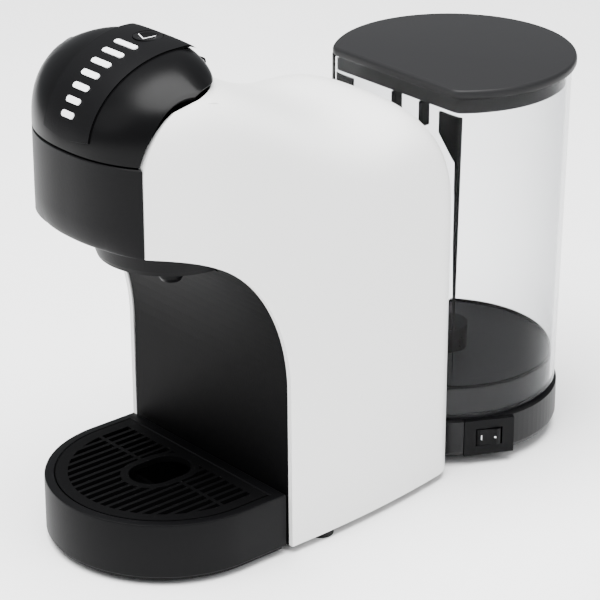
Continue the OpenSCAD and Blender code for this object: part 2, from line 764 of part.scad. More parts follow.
// The piercing plate under the lid, with its needle and the arm that brings water to it
module injector() {
    plate_z = 233;
    plate_t = 5;
    arm_z = plate_z + plate_t - 0.1;
    arm_t = 2.6;
    arm_a = atan2(coupling_pos.y - brew_y, coupling_pos.x);
    arm_l = norm([coupling_pos.x, coupling_pos.y - brew_y]);
    color("lightgray") place() translate([0, brew_y, 0]) {
        translate([0, 0, plate_z]) cylinder(r = 15, h = plate_t);
        translate([0, 0, arm_z]) cylinder(r = 6, h = 11.4);
        translate([0, 0, plate_z - 6]) cylinder(r = 1.2, h = 6.1);
        rotate([0, 0, arm_a]) {
            translate([5, -3, arm_z]) cube([arm_l - 5, 6, arm_t]);
            translate([arm_l, 0, coupling_top + 0.4])
                cylinder(r = coupling_r, h = arm_z + arm_t - coupling_top - 0.4);
        }
    }
}

module injector_seal() {
    color("firebrick") place() translate([0, brew_y, 231.2]) ring(10, 7, 1.7);
}

module hinge_bracket() {
    cheek_w = 6;
    foot_z = 228;
    foot_t = 2.6;
    color("#202020") place() difference() {
        union() {
            for (x = [-knuckle_l / 2 - 0.8 - cheek_w, knuckle_l / 2 + 0.8]) {
                translate([x, hinge_y, hinge_z]) rotate([0, 90, 0]) cylinder(r = 2.4, h = cheek_w);
                translate([x, hinge_y - 1, foot_z + 1]) cube([cheek_w, 2.4, hinge_z - foot_z - 1]);
            }
            translate([-14, hinge_y - 1, foot_z]) cube([28, 8, foot_t]);
        }
        translate([-20, hinge_y, hinge_z]) rotate([0, 90, 0]) cylinder(r = pin_r + pin_play, h = 40);
    }
}

module lid_pin() {
    color("silver") place() translate([-13, hinge_y, hinge_z]) rotate([0, 90, 0]) cylinder(r = pin_r, h = 26);
}

// ---------- capsule adapter ----------

module capsule_adapter() {
    floor_z = 186;
    floor_t = 2;
    cup_r = 12;                           // at the bottom of the hollow for the pod
    step_z = floor_z + 30;                // where the hollow widens for the pod's top
    lip_t = 2.4;
    color("#3c3c3c") place() translate([0, brew_y, 0]) difference() {
        union() {
            translate([0, 0, floor_z]) cylinder(r = adapter_r, h = rim_z - 1 - floor_z);
            translate([0, 0, rim_z - lip_t]) cylinder(r = adapter_r + 2.6, h = lip_t);
            translate([-7, -adapter_r - 2.8, rim_z - lip_t]) cube([14, 8, lip_t]);
        }
        translate([0, 0, step_z]) cylinder(r = adapter_r - 2.7, h = 60);
        translate([0, 0, floor_z + floor_t])
            cylinder(r1 = cup_r, r2 = adapter_r - 5.4, h = step_z - floor_z - floor_t + 0.1);
        translate([0, 0, floor_z - 1]) cylinder(r = 3, h = 10);
    }
}

// ---------- drip tray ----------

tray_back = -3.2;
grille_r = tray_r - 5.5;
grille_back = -10;
grille_t = 3;

module drip_tray() {
    wall = 2.4;
    bottom = 2.2;
    step = 2;                             // height of the narrower foot of the tray
    foot_inset = 1.5;
    ledge = 2.5;                          // width of the ledge that carries the grille
    color("#1c1c1d") place() difference() {
        union() {
            translate([0, 0, bottom + step]) linear_extrude(tray_top - bottom - step)
                tray_plan(tray_r, tray_back);
            translate([0, 0, bottom]) linear_extrude(step + 0.1)
                tray_plan(tray_r - foot_inset, tray_back - foot_inset);
        }
        translate([0, 0, bottom + wall]) linear_extrude(tray_top)
            tray_plan(grille_r - ledge, grille_back - ledge);
        translate([0, 0, tray_top - grille_t]) linear_extrude(10)
            tray_plan(grille_r + fit, grille_back + fit);
    }
}

module drip_grille() {
    frame_w = 6;
    slot_w = slat_pitch - 2;
    hole_r = 11.5;
    hole_half = 5;
    hole_y = -33.5;
    count = floor((grille_r - frame_w) / slat_pitch);
    module oval(r, h) {
        for (y = [-hole_half, hole_half]) translate([0, hole_y + y, 0]) cylinder(r = r, h = h);
        translate([-r, hole_y - hole_half, 0]) cube([2 * r, 2 * hole_half, h]);
    }
    color("#202021") place() translate([0, 0, tray_top - grille_t + 0.05]) difference() {
        linear_extrude(grille_t - 0.05) tray_plan(grille_r, grille_back);
        difference() {
            intersection() {
                translate([0, 0, -1]) linear_extrude(6) tray_plan(grille_r - frame_w, grille_back - frame_w);
                union() for (i = [-count : count])
                    translate([i * slat_pitch - slot_w / 2, -100, -2]) cube([slot_w, 100, 8]);
            }
            translate([0, 0, -2]) oval(hole_r + 4, 8);
            translate([-body_w / 2, hole_y - 1, -2]) cube([body_w, 2, 8]);
        }
        translate([0, 0, -2]) oval(hole_r, 8);
    }
}

// ---------- water tank ----------

lid_edge_t = 4.7;
wall_top = tank_top - lid_edge_t;

// Tapering body of the tank between two heights, set in by t
module tank_form(z0, z1, t, corner = 6) {
    slope = (tank_r - tank_foot_r) / (wall_top - tank_foot_z);
    function r_at(z) = tank_foot_r + slope * (z - tank_foot_z) - t;
    intersection() {
        translate([0, 0, z0]) linear_extrude(z1 - z0) d_plan(tank_r - t, tank_cy, chord_y + t, corner);
        translate([0, tank_cy, z0]) cylinder(r1 = r_at(z0), r2 = r_at(z1), h = z1 - z0, $fn = 128);
    }
}

module tank() {
    color("lightblue", 0.35) place() difference() {
        tank_form(tank_foot_z, wall_top, 0);
        tank_form(tank_foot_z - 1, wall_top + 1, tank_t, 4);
    }
}

module tank_bottom() {
    inset = tank_t + 0.05;
    color("#2a2a2c") place() difference() {
        union() {
            difference() {
                tank_form(tank_foot_z + 0.3, tank_floor_z, inset, 4);
                tank_form(tank_foot_z - 1, tank_floor_z - 3, inset + 2.4, 3);
            }
            difference() {
                tank_form(base_top + 0.1, tank_foot_z + 3, inset + 0.8, 4);
                tank_form(base_top - 1, tank_foot_z + 4, inset + 3.2, 3);
            }
            translate([0, valve_y, base_top + 0.8]) cylinder(r = 11, h = 16);
        }
        translate([0, valve_y, base_top]) cylinder(r = 7.2, h = 10.3);
        translate([0, valve_y, base_top]) cylinder(r = 4.6, h = 30);
    }
}

// Black rails that line the tank's two front corners, each with a wide gusset under the lid
module tank_frame() {
    rail_x = 43.5;
    reach = 2;                            // how far the rails come back from the flat wall
    gusset_x = 32;
    gusset_z = 181;
    rail_t = 1.4;
    top = 192;
    flat_y = chord_y + tank_t;
    color("#121212") place() difference() {
        intersection() {
            tank_form(tank_floor_z + 0.1, top, tank_t + 0.05, 4);
            translate([0, flat_y + reach, 0]) rotate([90, 0, 0]) linear_extrude(reach + 1)
                for (side = [-1, 1]) polygon([
                    [side * rail_x, tank_floor_z], [side * 60, tank_floor_z], [side * 60, top],
                    [side * gusset_x, top], [side * gusset_x, gusset_z],
                    [side * rail_x, gusset_z - 13]
                ]);
        }
        tank_form(tank_floor_z - 1, top + 1, tank_t + rail_t, 3);
    }
}

// Two guide ribs on the inside of the tank's flat wall
module tank_ribs() {
    color("#202020") place() for (x = [-1, 19])
        translate([x - 1.6, chord_y + tank_t + 0.05, 181]) cube([3.2, 4.5, 12.5]);
}

module tank_lid() {
    skirt = tank_t + 0.5;
    skirt_z = 194;
    skirt_r = tank_r - skirt - 0.3;
    wall = 2;
    color("#29292b") place() {
        translate([0, 0, wall_top + 0.1])
            linear_extrude(lid_edge_t - 0.1) d_plan(tank_lid_r, cover_cy, chord_y - 0.4, 8);
        difference() {
            translate([0, 0, skirt_z]) linear_extrude(wall_top + 0.2 - skirt_z)
                d_plan(skirt_r, tank_cy, chord_y + skirt, 4);
            translate([0, 0, skirt_z - 1]) linear_extrude(wall_top + 1 - skirt_z)
                d_plan(skirt_r - wall, tank_cy, chord_y + skirt + wall, 4);
        }
    }
}

module tank_valve() {
    color("gray") place() translate([0, valve_y, 0]) {
        translate([0, 0, tank_floor_z + 0.1]) cylinder(r = 7, h = valve_head_t);
        translate([0, 0, valve_tip_z]) cylinder(r = 4, h = tank_floor_z + 0.6 - valve_tip_z);
    }
}

module valve_spring() {
    turns = 4;
    steps = 14;                           // points in a turn
    coil_r = 4.6;
    bottom = tank_floor_z + valve_head_t + 0.9;
    top = 53.4;
    color("silver") place() translate([0, valve_y, 0]) swept([
        for (i = [0 : turns * steps])
            let (a = 360 * i / steps)
            [coil_r * cos(a), coil_r * sin(a), bottom + (top - bottom) * i / (turns * steps)]
    ], 0.4, 6);
}

module tank_strainer() {
    r = 12;
    h = 13;
    slot = [6, 2.4, 5.6];
    color("#303034") place() translate([0, valve_y, tank_floor_z + 0.05]) difference() {
        cylinder(r = r, h = h);
        translate([0, 0, -1]) cylinder(r = r - 2.5, h = h - 1);
        for (a = [0 : 45 : 315])
            rotate([0, 0, a]) translate([r - 4, -slot.y / 2, 2.2]) cube(slot);
    }
}

// ---------- water path and electrics ----------

module pump() {
    coil = [38, 34, 34];
    inlet_l = 4;
    outlet_l = 9;
    color("darkgoldenrod") place() translate(pump_pos) {
        translate(-coil / 2) cube(coil);
        rotate([-90, 0, 0]) {
            translate([0, 0, -pump_l / 2]) cylinder(r = pump_r, h = pump_l);
            translate([0, 0, -pump_l / 2 - inlet_l]) cylinder(r = 4, h = inlet_l + 1);
            translate([0, 0, pump_l / 2 - 1]) cylinder(r = 5, h = outlet_l + 1);
        }
    }
}

module pump_mounts() {
    thick = 5;
    leg_h = 28;
    color("black") place() for (y = [-30, 26]) translate(pump_pos + [0, y, 0]) {
        rotate([-90, 0, 0]) ring(14, pump_r + 0.1, thick);
        translate([-6, 0, frame_z - pump_pos.z]) cube([12, thick, leg_h]);
    }
}

module flow_meter() {
    h = 14;
    spigot_r = 2.6;
    color("ivory") place() translate(meter_pos) {
        cylinder(r = 12, h = h);
        translate([-20, 0, h / 2]) rotate([0, 90, 0]) cylinder(r = spigot_r, h = 12);
        translate([0, 9, h / 2]) rotate([-90, 0, 0]) cylinder(r = spigot_r, h = 10);
    }
}

module thermoblock() {
    rib_pitch = 11;
    rib_t = 4;
    rib_out = 2;
    middle = heater_size.y / 2;
    outlet_x = heater_size.x / 2;
    color("silver") place() translate(heater_pos) difference() {
        union() {
            cube(heater_size);
            for (z = [8 : rib_pitch : heater_size.z - 8])
                translate([-rib_out, -rib_out, z])
                    cube([heater_size.x + 2 * rib_out, heater_size.y + 2 * rib_out, rib_t]);
            translate([12, middle, -9]) cylinder(r = 4, h = 12);
            translate([32, middle, -9]) cylinder(r = 3, h = 12);
            translate([outlet_x, middle, heater_size.z - 1]) cylinder(r = 3.2, h = 10);
        }
        translate([outlet_x, middle, heater_size.z - 14]) cylinder(r = 1.6, h = 30);
    }
}

module thermostat() {
    back = heater_pos.y + heater_size.y + 2.1;
    color("tan") place() translate([heater_pos.x + heater_size.x / 2, back, heater_pos.z + 37])
        rotate([-90, 0, 0]) {
            cylinder(r = 8, h = 5);
            translate([-4, -1, 5]) cube([8, 2, 5]);
        }
}

// Soft hoses: tank dock to flow meter, flow meter to pump, pump to heater, heater to the coupling
module water_hoses() {
    dock = [0, valve_y, 13.4];
    meter_z = meter_pos.z + 7;
    meter_in = [meter_pos.x, meter_pos.y + 20, meter_z];
    meter_out = [meter_pos.x - 22.2, meter_pos.y, meter_z];
    pump_in = pump_pos + [0, pump_l / 2 + 11.8, 0];
    pump_out = pump_pos - [0, pump_l / 2 + 7, 0];
    heater_in = heater_pos + [12, heater_size.y / 2, -10];
    heater_out = heater_pos + [heater_size.x / 2, heater_size.y / 2, heater_size.z + 10];
    arm = [coupling_pos.x, coupling_pos.y, 220.8];
    color("white") place() {
        swept(bezier([dock, dock - [0, 0, 4], meter_in + [0, 28, 0], meter_in]), suction_r);
        swept(bezier([meter_out, meter_out - [5.8, 0, 0], pump_in + [0, 8.2, 0], pump_in]), suction_r);
        swept(bezier([pump_out, pump_out - [0, 6, 0], heater_in - [0, 0, 20], heater_in]), pressure_r);
        swept(bezier([heater_out, heater_out + [0, 0, 32], arm - [0, 0, 15.8], arm]), pressure_r);
    }
}

module main_board() {
    color("seagreen") place() translate(board_pos) {
        cube([board_t, 62, 78]);
        translate([board_t, 0, 0]) {
            translate([0, 8, 10]) cube([16, 20, 16]);
            translate([0, 40, 12]) cube([12, 18, 14]);
            for (y = [14, 30, 46]) translate([0, y, 60]) rotate([0, 90, 0]) cylinder(r = 5, h = 14);
            translate([0, 20, 38]) cube([3, 26, 10]);
        }
    }
}

body_shell();
front_panel();
head_fascia();
head_deck();
brew_chamber();
outlet_collar();
spout();
chassis();
base_plate();
base_screws();
feet();
rear_base();
dock_valve();
dock_seal();
switch_panel();
rocker();
cord_gland();
water_coupling();
hinge_bracket();
lid_pin();
lid_shell();
control_strip();
led_bars();
start_button();
control_board();
injector();
injector_seal();
capsule_adapter();
drip_tray();
drip_grille();
tank();
tank_bottom();
tank_frame();
tank_ribs();
tank_lid();
tank_valve();
valve_spring();
tank_strainer();
pump();
pump_mounts();
flow_meter();
thermoblock();
thermostat();
water_hoses();
main_board();
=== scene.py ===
"""Looks for the pod coffee machine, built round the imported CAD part."""
import json
import math

import bmesh
import bpy
from mathutils import Matrix, Vector


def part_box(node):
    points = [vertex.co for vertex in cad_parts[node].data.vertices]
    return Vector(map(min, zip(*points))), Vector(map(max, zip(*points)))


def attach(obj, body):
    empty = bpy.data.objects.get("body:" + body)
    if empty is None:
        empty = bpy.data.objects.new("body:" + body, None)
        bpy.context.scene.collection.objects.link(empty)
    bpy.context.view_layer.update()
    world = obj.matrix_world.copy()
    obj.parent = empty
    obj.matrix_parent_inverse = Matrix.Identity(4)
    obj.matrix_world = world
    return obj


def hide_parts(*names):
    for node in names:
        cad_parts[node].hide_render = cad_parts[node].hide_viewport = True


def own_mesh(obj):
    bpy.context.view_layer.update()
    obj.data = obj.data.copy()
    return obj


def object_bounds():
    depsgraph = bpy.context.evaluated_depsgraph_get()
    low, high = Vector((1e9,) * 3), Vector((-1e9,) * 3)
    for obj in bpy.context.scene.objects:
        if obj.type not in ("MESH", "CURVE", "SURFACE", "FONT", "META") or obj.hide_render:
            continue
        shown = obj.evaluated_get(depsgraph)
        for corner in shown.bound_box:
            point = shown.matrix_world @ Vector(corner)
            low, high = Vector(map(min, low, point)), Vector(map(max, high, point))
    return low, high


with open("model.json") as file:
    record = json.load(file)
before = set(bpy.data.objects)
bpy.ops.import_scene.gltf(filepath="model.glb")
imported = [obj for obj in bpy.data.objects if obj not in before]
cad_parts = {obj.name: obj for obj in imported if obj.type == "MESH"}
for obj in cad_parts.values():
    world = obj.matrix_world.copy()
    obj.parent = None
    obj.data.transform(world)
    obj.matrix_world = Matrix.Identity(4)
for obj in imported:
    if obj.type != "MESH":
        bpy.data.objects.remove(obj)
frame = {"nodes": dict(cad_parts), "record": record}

MM = 0.001
cad_low, cad_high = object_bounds()

# ---------------------------------------------------------------- driving sizes, in mm
half_w = 62.5
shell_t = 2.6
head_z, seam_z, dome_h = 169.0, 213.0, 43.2
nose_cy, nose_n = -23.0, 2.3
nose_b = 61.0
lid_side_y = -71.5
taper_y, taper_w, taper_l = 10.0, 8.0, 94.0
column_d, corner_r, corner_a = 118.0, 16.0, 9.7
corner_cy = column_d - corner_r
corner_y = corner_cy + corner_r * math.sin(math.radians(corner_a))
corner_cx = (half_w - taper_w * ((corner_y - taper_y) / taper_l) ** 2
             - corner_r * math.cos(math.radians(corner_a)))
arch_cy, arch_a, arch_z = -70.0, 68.0, 86.0
arch_b = head_z - arch_z
column_edge_y, foot_h = -1.2, 4.0
crest_y, crest_z = -46.0, 253.5
saddle_y, saddle_z, saddle_slope = 66.0, 206.0, -0.86
shoulder_h, shoulder_n = 40.0, 3.0
rear_round = 40.0
rear_round_y = column_d - rear_round
dome_cy = -32.0
dome_l = 84.0 + dome_cy
cheek_r, cheek_h, cheek_z = 25.5, 36.0, 206.0
lid_end_y, under_lid = -16.5, 3.0


# Moves the column's front edge into the part's frame
column_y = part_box("body_shell")[1][1] / MM - column_d


# ---------------------------------------------------------------- the body's form
def nose_half(y, t=0.0):
    """Half width of the nose and body at y, set in by t."""
    if y > nose_cy:
        return half_w - t
    share = 1 - ((nose_cy - y) / (nose_b - t)) ** nose_n
    return (half_w - t) * max(0.0, share) ** (1 / nose_n)


def body_half(y, t=0.0):
    return nose_half(y, t) - taper_w * (max(0.0, y - taper_y) / taper_l) ** 2


def dome_rise(y):
    return dome_h * math.sqrt(max(0.0, 1 - (min(0.0, y - dome_cy) / dome_l) ** 2))


def top_z(y, t=0.0):
    """Height of the white top along the middle of the body."""
    if y < crest_y:
        return seam_z + (crest_z - seam_z) * dome_rise(y) / dome_rise(crest_y) - t
    if y < rear_round_y:
        s = min(1.0, (y - crest_y) / (saddle_y - crest_y))
        fall = 1 + (2 * s - 3) * s * s + saddle_slope * s * (1 - s) ** 2
        return saddle_z + (crest_z - saddle_z) * fall - t
    return saddle_z - rear_round + math.sqrt(
        max(0.0, (rear_round - t) ** 2 - (y - rear_round_y) ** 2))


def shoulder_z(y):
    return seam_z if y < crest_y else top_z(y) - shoulder_h


def low_z(y):
    """Lower edge of the white shell: head, arch, column."""
    if y <= arch_cy:
        return head_z
    if y < column_edge_y - 0.1:
        return arch_z + arch_b * math.sqrt(max(0.0, 1 - ((y - arch_cy) / arch_a) ** 2))
    return foot_h


def to_frame(point):
    return Vector((point[0], point[1] + column_y, point[2])) * MM


# ---------------------------------------------------------------- mesh helpers
def prism(count):
    """Faces of an upright solid whose lower and upper outlines have this many points."""
    sides = [(i, (i + 1) % count, count + (i + 1) % count, count + i) for i in range(count)]
    return [tuple(range(count))[::-1], tuple(range(count, 2 * count))] + sides


def face_outward(mesh):
    shape = bmesh.new()
    shape.from_mesh(mesh)
    bmesh.ops.recalc_face_normals(shape, faces=shape.faces)
    shape.to_mesh(mesh)
    shape.free()


def cut_hole(made, x, y, radius):
    """Cut an upright round hole through the top of a piece."""
    sides, bottom, top = 64, seam_z + 25, seam_z + 60
    ring = [(x + radius * math.cos(2 * math.pi * i / sides),
             y + radius * math.sin(2 * math.pi * i / sides)) for i in range(sides)]
    mesh = bpy.data.meshes.new("cutter")
    mesh.from_pydata([to_frame((u, v, z)) for z in (bottom, top) for u, v in ring], [],
                     prism(sides))
    face_outward(mesh)
    cutter = bpy.data.objects.new("cutter", mesh)
    bpy.context.collection.objects.link(cutter)
    tool = made.modifiers.new("hole", "BOOLEAN")
    tool.object = cutter
    tool.solver = "MANIFOLD"
    bpy.context.view_layer.update()
    shape = bpy.data.meshes.new_from_object(
        made.evaluated_get(bpy.context.evaluated_depsgraph_get()))
    made.modifiers.clear()
    made.data = shape
    bpy.data.objects.remove(cutter)


def piece(name, points, faces, body, material, slot, stands_for, sharp=32.0, hole=None):
    """A new visible piece that rides on a CAD body and stands for CAD nodes."""
    mesh = bpy.data.meshes.new(name)
    mesh.from_pydata([to_frame(p) for p in points], [], faces)
    face_outward(mesh)
    mesh.polygons.foreach_set("use_smooth", [True] * len(mesh.polygons))
    mesh.set_sharp_from_angle(angle=math.radians(sharp))
    mesh.materials.append(material)
    made = bpy.data.objects.new(name, mesh)
    bpy.context.collection.objects.link(made)
    if hole:
        cut_hole(made, *hole)
    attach(made, body)
    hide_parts(*stands_for)
    return made


def grid(rows, cols, first=0, flip=False):
    quads = []
    for i in range(rows - 1):
        for j in range(cols - 1):
            a = first + i * cols + j
            quad = (a, a + 1, a + 1 + cols, a + cols)
            quads.append(quad[::-1] if flip else quad)
    return quads


def band(p, q, flip=False):
    quads = [(p[i], p[i + 1], q[i + 1], q[i]) for i in range(len(p) - 1)]
    return [f[::-1] for f in quads] if flip else quads


def skin(loops, closed):
    """Points and faces of a solid skinned over outlines of equal length; a closed one is a ring."""
    n = len(loops[0])
    points = [p for loop in loops for p in loop]
    faces = []
    for k in range(len(loops) if closed else len(loops) - 1):
        a, b = k * n, ((k + 1) % len(loops)) * n
        faces += [(a + i, a + (i + 1) % n, b + (i + 1) % n, b + i) for i in range(n)]
    if not closed:
        faces += [tuple(range(n))[::-1], tuple(range((len(loops) - 1) * n, len(loops) * n))]
    return points, faces


def d_outline(r, cy, chord, corner, z):
    """A circle cut off by a chord at the front, with round corners."""
    round_steps, corner_steps = 120, 12
    dy = cy - chord - corner
    cx = math.sqrt((r - corner) ** 2 - dy * dy)
    a = math.atan2(dy, cx)
    outline = []
    for i in range(round_steps + 1):
        b = -a + (math.pi + 2 * a) * i / round_steps
        outline.append((r * math.cos(b), cy + r * math.sin(b), z))
    for side, first in ((-1, math.pi + a), (1, 1.5 * math.pi)):
        for i in range(1, corner_steps):
            b = first + (math.pi / 2 - a) * i / corner_steps
            outline.append((corner * math.cos(b) + side * cx,
                            chord + corner + corner * math.sin(b), z))
    return outline


# ---------------------------------------------------------------- materials
def surface(name, color, rough, mottle=0.04, grain=0.0, glass=0.0, shine=0.5):
    """A plastic-like surface whose roughness and tint vary a little, with an optional fine grain."""
    cloud_size, grain_size, grain_height, darker = 14.0, 900.0, 0.0003, 0.96
    made = bpy.data.materials.new(name)
    made.use_nodes = True
    nodes, links = made.node_tree.nodes, made.node_tree.links
    shader = nodes["Principled BSDF"]
    shader.inputs["Specular IOR Level"].default_value = shine
    shader.inputs["Transmission Weight"].default_value = glass
    place = nodes.new("ShaderNodeTexCoord")
    cloud = nodes.new("ShaderNodeTexNoise")
    cloud.inputs["Scale"].default_value = cloud_size
    cloud.inputs["Detail"].default_value = 3.0
    links.new(place.outputs["Object"], cloud.inputs["Vector"])
    spread = nodes.new("ShaderNodeMapRange")
    spread.inputs["To Min"].default_value = max(0.02, rough - mottle)
    spread.inputs["To Max"].default_value = rough + mottle
    links.new(cloud.outputs["Fac"], spread.inputs["Value"])
    links.new(spread.outputs["Result"], shader.inputs["Roughness"])
    tint = nodes.new("ShaderNodeValToRGB")
    tint.color_ramp.elements[0].color = tuple(c * darker for c in color) + (1.0,)
    tint.color_ramp.elements[1].color = tuple(color) + (1.0,)
    links.new(cloud.outputs["Fac"], tint.inputs["Fac"])
    links.new(tint.outputs["Color"], shader.inputs["Base Color"])
    if grain:
        fine = nodes.new("ShaderNodeTexNoise")
        fine.inputs["Scale"].default_value = grain_size
        links.new(place.outputs["Object"], fine.inputs["Vector"])
        bump = nodes.new("ShaderNodeBump")
        bump.inputs["Strength"].default_value = grain
        bump.inputs["Distance"].default_value = grain_height
        links.new(fine.outputs["Fac"], bump.inputs["Height"])
        links.new(bump.outputs["Normal"], shader.inputs["Normal"])
    return made


def clear_plastic(name):
    """Clear plastic whose base colour is painted greyer where the wall is seen edge on: painted shade
    for the grey look of the wall's edges.
    """
    face_on, painted_edge_shade = (0.94, 0.945, 0.95), (0.50, 0.51, 0.52)
    made = surface(name, face_on, 0.04, mottle=0.02, glass=1.0, shine=0.15)
    shader = made.node_tree.nodes["Principled BSDF"]
    shader.inputs["IOR"].default_value = 1.12
    slant = made.node_tree.nodes.new("ShaderNodeLayerWeight")
    slant.inputs["Blend"].default_value = 0.5
    tint = shader.inputs["Base Color"].links[0].from_node
    # The second ramp stop is painted shade: a grey laid into the colour where the wall turns edge on,
    # driven by the Facing output.
    for stop, color in zip(tint.color_ramp.elements, (face_on, painted_edge_shade)):
        stop.color = color + (1.0,)
    made.node_tree.links.new(slant.outputs["Facing"], tint.inputs["Fac"])
    return made


looks = {
    "white_shell": surface("white_shell", (0.80, 0.80, 0.79), 0.34, grain=0.05, shine=0.35),
    "black_satin": surface("black_satin", (0.0022, 0.0022, 0.0025), 0.44, grain=0.12, shine=0.08),
    "black_gloss": surface("black_gloss", (0.002, 0.002, 0.0022), 0.30, grain=0.02, shine=0.08),
    "black_matte": surface("black_matte", (0.0018, 0.0018, 0.002), 0.60, grain=0.20, shine=0.06),
    "clear_tank": clear_plastic("clear_tank"),
    "tank_lid": surface("tank_lid", (0.011, 0.011, 0.0115), 0.42, grain=0.12, shine=0.10),
    "tank_floor": surface("tank_floor", (0.022, 0.022, 0.023), 0.45, grain=0.10, shine=0.10),
    "rear_base": surface("rear_base", (0.007, 0.007, 0.0075), 0.42, grain=0.15, shine=0.14),
    # Near-black, used for the painted shade line round the control band and for the dark ring on the
    # tank's floor.
    "darkest_black": surface("darkest_black", (0.0008, 0.0008, 0.0009), 0.8, grain=0.1, shine=0.03),
    "dark_rubber": surface("dark_rubber", (0.006, 0.006, 0.006), 0.75, grain=0.3, shine=0.15),
    "red_seal": surface("red_seal", (0.30, 0.02, 0.02), 0.6, grain=0.1),
    "light_bar": surface("light_bar", (0.90, 0.91, 0.92), 0.35, grain=0.05),
    "grey_plastic": surface("grey_plastic", (0.04, 0.04, 0.042), 0.5, grain=0.15, shine=0.25),
    "steel": surface("steel", (0.55, 0.55, 0.55), 0.3, grain=0.1),
    "aluminium": surface("aluminium", (0.60, 0.60, 0.61), 0.45, grain=0.2),
    "pump_body": surface("pump_body", (0.20, 0.12, 0.05), 0.5, grain=0.1),
    "board_green": surface("board_green", (0.02, 0.10, 0.04), 0.4, grain=0.1),
    "silicone_hose": surface("silicone_hose", (0.70, 0.70, 0.67), 0.5, grain=0.1),
}
for metal in ("steel", "aluminium"):
    looks[metal].node_tree.nodes["Principled BSDF"].inputs["Metallic"].default_value = 1.0

# Nodes whose look differs from the one their slot gives
own_look = {"rear_base": "rear_base", "tank_bottom": "tank_floor"}
for part in frame["record"]["subparts"]:
    mesh = frame["nodes"][part["node"]].data
    mesh.materials.clear()
    mesh.materials.append(looks[own_look.get(part["node"], part["material_slot"])])


# ---------------------------------------------------------------- white shell
def body_shell():
    side_steps, top_steps, corner_steps, column_steps, arch_step, settle = 14, 26, 14, 30, 3, 14
    cols = 2 * (side_steps + top_steps) + 1
    stations = [lid_side_y]
    stations += [arch_cy + arch_a * math.sin(math.radians(a)) for a in range(0, 91, arch_step)]
    stations += [column_edge_y]
    stations += [column_edge_y + (corner_y - column_edge_y) * i / column_steps
                 for i in range(1, column_steps + 1)]
    last = len(stations) - 1
    rows = len(stations) + corner_steps
    turn = math.degrees(math.asin(
        ((cheek_z + cheek_h - seam_z) / (crest_z - seam_z)) ** (shoulder_n / 2)))

    def start(a):
        """Where the shell starts, in y, at angle a up the shoulder."""
        if a >= turn:
            share = math.sin(math.radians(90 * (a - turn) / (90 - turn)))
            return crest_y + (lid_end_y - under_lid - crest_y) * share
        y = crest_y
        for _ in range(settle):
            z = seam_z + (top_z(y) - seam_z) * math.sin(math.radians(a)) ** (2 / shoulder_n)
            edge = crest_y - cheek_r * math.sqrt(max(0.0, 1 - ((z - cheek_z) / cheek_h) ** 2))
            y = (y + edge) / 2
        return y

    def point(i, j, t):
        k = abs(j - (cols - 1) // 2)
        side = 1 if j * 2 < cols - 1 else -1
        on_top = k <= top_steps
        a = math.radians(90 * (1 - k / top_steps)) if on_top else 0.0
        q = 1.0 if on_top else (side_steps + top_steps - k) / side_steps
        begin = start(math.degrees(a)) if on_top else lid_side_y
        if i <= last:
            y = corner_y + (stations[i] - corner_y) * (corner_y - begin) / (corner_y - lid_side_y)
            w = body_half(y, t)
        else:
            b = math.radians(corner_a + (90 - corner_a) * (i - last) / corner_steps)
            y = corner_cy + (corner_r - t) * math.sin(b)
            w = corner_cx + (corner_r - t) * math.cos(b)
        base = shoulder_z(min(y, column_d - t))
        rise = top_z(y, t) - base
        x = 0.0 if k == 0 else side * w * max(0.0, math.cos(a)) ** (2 / shoulder_n)
        if on_top:
            return (x, y, base + rise * max(0.0, math.sin(a)) ** (2 / shoulder_n))
        return (x, y, low_z(y) + (base - low_z(y)) * q)

    points = [point(i, j, t) for t in (0.0, shell_t) for i in range(rows) for j in range(cols)]
    inner, end = rows * cols, cols - 1
    front = list(range(cols))
    rim = [i * cols for i in range(rows)]
    faces = grid(rows, cols, 0, True) + grid(rows, cols, inner)
    faces += band(front, [j + inner for j in front])
    faces += band(rim, [e + inner for e in rim], True)
    faces += band([e + end for e in rim], [e + end + inner for e in rim])
    rear = (rows - 1) * cols
    for first, flip in ((rear, True), (rear + inner, False)):
        mid = end // 2
        faces += band([first + j for j in range(mid)], [first + end - j for j in range(mid)], flip)
        cap = (first + mid - 1, first + mid, first + mid + 1)
        faces.append(cap[::-1] if flip else cap)
    faces.append((rear, rear + inner, rear + end + inner, rear + end))
    return piece("white_body", points, faces, "machine", looks["white_shell"], "white_shell",
                 ["body_shell"])


body_shell()


# ---------------------------------------------------------------- lid
lid_t, lid_lap, edge_play, edge_lift, seam_gap = 2.0, 2.4, 1.4, 1.2, 0.3
button_y, button_r, button_play = -34.4, 7.0, 0.3
button_hole = (0.0, button_y, button_r + button_play)
strip_t = 0.8
hinge_y, hinge_z = -13.2, 242.6
knuckle_half = 6.0
lid_heart = Vector((0.0, -46.0, 200.0))


def shoulder(x, w, h):
    """Height of the rounded shoulder at x, for a section of half width w and rise h."""
    if w <= 0:
        return 0.0
    return h * max(0.0, 1 - min(1.0, abs(x) / w) ** shoulder_n) ** (1 / shoulder_n)


def white_z(x, y):
    return shoulder_z(y) + shoulder(x, body_half(y), top_z(y) - shoulder_z(y))


def dome_z(x, y):
    return seam_z + shoulder(x, nose_half(y), dome_rise(y))


def inward(p, t):
    p = Vector(p)
    return p + (lid_heart - p).normalized() * t


